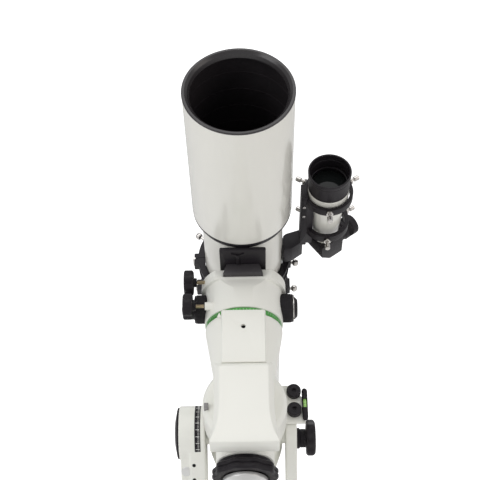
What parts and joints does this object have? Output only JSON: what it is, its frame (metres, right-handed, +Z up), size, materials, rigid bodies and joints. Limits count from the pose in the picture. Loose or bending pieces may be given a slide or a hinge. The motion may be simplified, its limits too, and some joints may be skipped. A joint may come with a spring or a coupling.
{
  "type": "refractor telescope",
  "caption": "Refractor telescope with right-angle finder in tube rings on an equatorial mount head with counterweights; turns, tilts and focuses.",
  "frame": {"origin": "centre of the round bottom face that bolts to a tripod or pier", "axes": "+Z up; the telescope points towards -Y and up at rest, the finder is on +X"},
  "size_m": [0.2823, 1.0539, 0.7904],
  "materials": {
    "mount_paint": "satin",
    "tube_paint": "gloss",
    "finder_paint": "gloss",
    "black_anodised": "satin",
    "black_plastic": "satin",
    "bright_steel": "polished",
    "satin_collar": "satin",
    "weight_paint": "satin",
    "green_anodised": "satin",
    "coated_glass": "gloss",
    "vial_liquid": "gloss"
  },
  "bodies": {
    "pier_plate": {"pier_plate": "black_anodised"},
    "fork": {"fork_base": "mount_paint", "left_arm": "mount_paint", "right_arm": "mount_paint", "drum_cap": "black_plastic"},
    "azimuth_knob_left": {"azimuth_knob_left": "black_plastic"},
    "azimuth_knob_right": {"azimuth_knob_right": "black_plastic"},
    "altitude_knob": {"altitude_knob": "black_plastic"},
    "polar_housing": {"polar_housing": "mount_paint", "polar_rear_cap": "black_plastic", "clamp_screw_upper": "black_anodised", "clamp_screw_lower": "black_anodised", "vial_body": "black_plastic", "level_vial": "vial_liquid"},
    "polar_worm": {"polar_worm": "bright_steel"},
    "declination_housing": {"declination_housing": "mount_paint", "front_cover": "mount_paint", "shaft_collar": "satin_collar", "counterweight_shaft": "bright_steel", "toe_stop": "black_anodised", "polar_shaft": "bright_steel"},
    "lock_ring": {"lock_ring": "black_plastic"},
    "counterweight_upper": {"counterweight_upper": "weight_paint"},
    "counterweight_lower": {"counterweight_lower": "weight_paint"},
    "saddle": {"setting_circle": "green_anodised", "declination_shaft": "bright_steel", "saddle_head": "mount_paint", "side_drum_left": "black_plastic", "side_drum_right": "black_plastic", "dovetail_bar": "black_anodised", "ring_plate": "black_anodised", "front_ring_base": "black_anodised", "rear_ring_base": "black_anodised", "main_tube": "tube_paint", "dew_shield": "tube_paint", "dew_shield_rim": "black_anodised", "lens_cell": "black_anodised", "crown_lens": "coated_glass", "flint_lens": "coated_glass", "tail_flange": "black_anodised", "focuser_body": "black_anodised", "finder_cell": "black_plastic", "finder_lens": "coated_glass", "finder_tube": "finder_paint", "finder_bracket": "black_plastic", "finder_prism": "black_plastic", "finder_eyepiece": "black_plastic"},
    "saddle_jaw": {"saddle_jaw": "mount_paint"},
    "saddle_knob": {"saddle_knob": "black_plastic"},
    "clutch_knob": {"clutch_knob": "black_plastic"},
    "front_ring_cap": {"front_ring_cap": "black_anodised"},
    "rear_ring_cap": {"rear_ring_cap": "black_anodised"},
    "front_ring_screw": {"front_ring_screw": "bright_steel"},
    "rear_ring_screw": {"rear_ring_screw": "bright_steel"},
    "drawtube": {"drawtube": "bright_steel"},
    "focus_knobs": {"focus_knobs": "black_anodised"},
    "fine_knob": {"fine_knob": "black_anodised"},
    "diagonal": {"star_diagonal": "black_anodised", "eyepiece": "black_anodised"},
    "finder_screw": {"finder_screw": "bright_steel"}
  },
  "joints": [
    {"name": "azimuth_adjust", "type": "hinge", "parent": "pier_plate", "child": "fork", "pos_m": [0, 0, 0.014], "axis": [0, 0, 1], "range_deg": [-6, 6]},
    {"name": "azimuth_screw_left", "type": "slide", "parent": "fork", "child": "azimuth_knob_left", "axis": [1, 0, 0], "range_m": [-0.008, 0.008]},
    {"name": "azimuth_screw_right", "type": "slide", "parent": "fork", "child": "azimuth_knob_right", "axis": [1, 0, 0], "range_m": [-0.008, 0.008]},
    {"name": "altitude_adjust", "type": "hinge", "parent": "fork", "child": "polar_housing", "pos_m": [0, 0, 0.219], "axis": [-1, 0, 0], "range_deg": [-26, 19]},
    {"name": "altitude_knob_turn", "type": "hinge", "parent": "fork", "child": "altitude_knob", "pos_m": [0.09, 0, 0.21], "axis": [1, 0, 0], "range_deg": [-800, 600]},
    {"name": "polar_axis_turn", "type": "hinge", "parent": "polar_housing", "child": "declination_housing", "pos_m": [0, -0.06391, 0.28518], "axis": [0, -0.6947, 0.7193], "range_deg": [-90, 90]},
    {"name": "polar_worm_turn", "type": "hinge", "parent": "polar_housing", "child": "polar_worm", "pos_m": [0, -0.0386, 0.19563], "axis": [1, 0, 0], "continuous": true},
    {"name": "declination_axis_turn", "type": "hinge", "parent": "declination_housing", "child": "saddle", "pos_m": [0, -0.06391, 0.28518], "axis": [0, 0.7193, 0.6947], "continuous": true},
    {"name": "lock_ring_turn", "type": "hinge", "parent": "declination_housing", "child": "lock_ring", "pos_m": [0, -0.13368, 0.2178], "axis": [0, -0.7193, -0.6947], "range_deg": [0, 90]},
    {"name": "counterweight_upper_slide", "type": "slide", "parent": "declination_housing", "child": "counterweight_upper", "axis": [0, 0.7193, 0.6947], "range_m": [0, 0.1]},
    {"name": "counterweight_lower_slide", "type": "slide", "parent": "declination_housing", "child": "counterweight_lower", "axis": [0, -0.7193, -0.6947], "range_m": [0, 0.06]},
    {"name": "saddle_knob_turn", "type": "hinge", "parent": "saddle", "child": "saddle_knob", "pos_m": [-0.077, 0.04986, 0.42563], "axis": [-1, 0, 0], "range_deg": [-10, 1090]},
    {"name": "saddle_jaw_slide", "type": "slide", "parent": "saddle", "child": "saddle_jaw", "axis": [-1, 0, 0], "range_m": [0, 0.006]},
    {"name": "clutch_knob_turn", "type": "hinge", "parent": "saddle", "child": "clutch_knob", "pos_m": [-0.077, 0.00956, 0.402], "axis": [-1, 0, 0], "range_deg": [0, 120]},
    {"name": "front_ring_hinge", "type": "hinge", "parent": "saddle", "child": "front_ring_cap", "pos_m": [-0.075, 0.16492, 0.4297], "axis": [0, -0.6947, 0.7193], "range_deg": [0, 100]},
    {"name": "front_ring_screw_turn", "type": "hinge", "parent": "saddle", "child": "front_ring_screw", "pos_m": [0.078, 0.16133, 0.42623], "axis": [1, 0, 0], "continuous": true},
    {"name": "rear_ring_hinge", "type": "hinge", "parent": "saddle", "child": "rear_ring_cap", "pos_m": [-0.075, 0.21702, 0.37575], "axis": [0, -0.6947, 0.7193], "range_deg": [0, 100]},
    {"name": "rear_ring_screw_turn", "type": "hinge", "parent": "saddle", "child": "rear_ring_screw", "pos_m": [0.078, 0.21343, 0.37228], "axis": [1, 0, 0], "continuous": true},
    {"name": "focus_travel", "type": "slide", "parent": "saddle", "child": "drawtube", "axis": [0, 0.6947, -0.7193], "range_m": [0, 0.07]},
    {"name": "focus_knobs_turn", "type": "hinge", "parent": "saddle", "child": "focus_knobs", "pos_m": [0, 0.49737, 0.02786], "axis": [1, 0, 0], "range_deg": [-510, 10]},
    {"name": "fine_knob_turn", "type": "hinge", "parent": "saddle", "child": "fine_knob", "pos_m": [0.067, 0.49737, 0.02786], "axis": [1, 0, 0], "range_deg": [-5100, 10]},
    {"name": "diagonal_turn", "type": "hinge", "parent": "drawtube", "child": "diagonal", "pos_m": [0, 0.55741, 0.02327], "axis": [0, -0.6947, 0.7193], "continuous": true},
    {"name": "finder_screw_turn", "type": "hinge", "parent": "saddle", "child": "finder_screw", "pos_m": [0.1214, 0.02971, 0.51933], "axis": [0, -0.7193, -0.6947], "continuous": true}
  ],
  "couplings": [
    {"joint": "azimuth_screw_left", "follows": "azimuth_adjust", "m_per_rad": -0.069},
    {"joint": "azimuth_screw_right", "follows": "azimuth_adjust", "m_per_rad": -0.069},
    {"joint": "altitude_knob_turn", "follows": "altitude_adjust", "ratio": 30},
    {"joint": "polar_worm_turn", "follows": "polar_axis_turn", "ratio": 180},
    {"joint": "saddle_knob_turn", "follows": "saddle_jaw_slide", "rad_per_m": 3141.6},
    {"joint": "focus_knobs_turn", "follows": "focus_travel", "rad_per_m": -125},
    {"joint": "fine_knob_turn", "follows": "focus_travel", "rad_per_m": -1250}
  ]
}
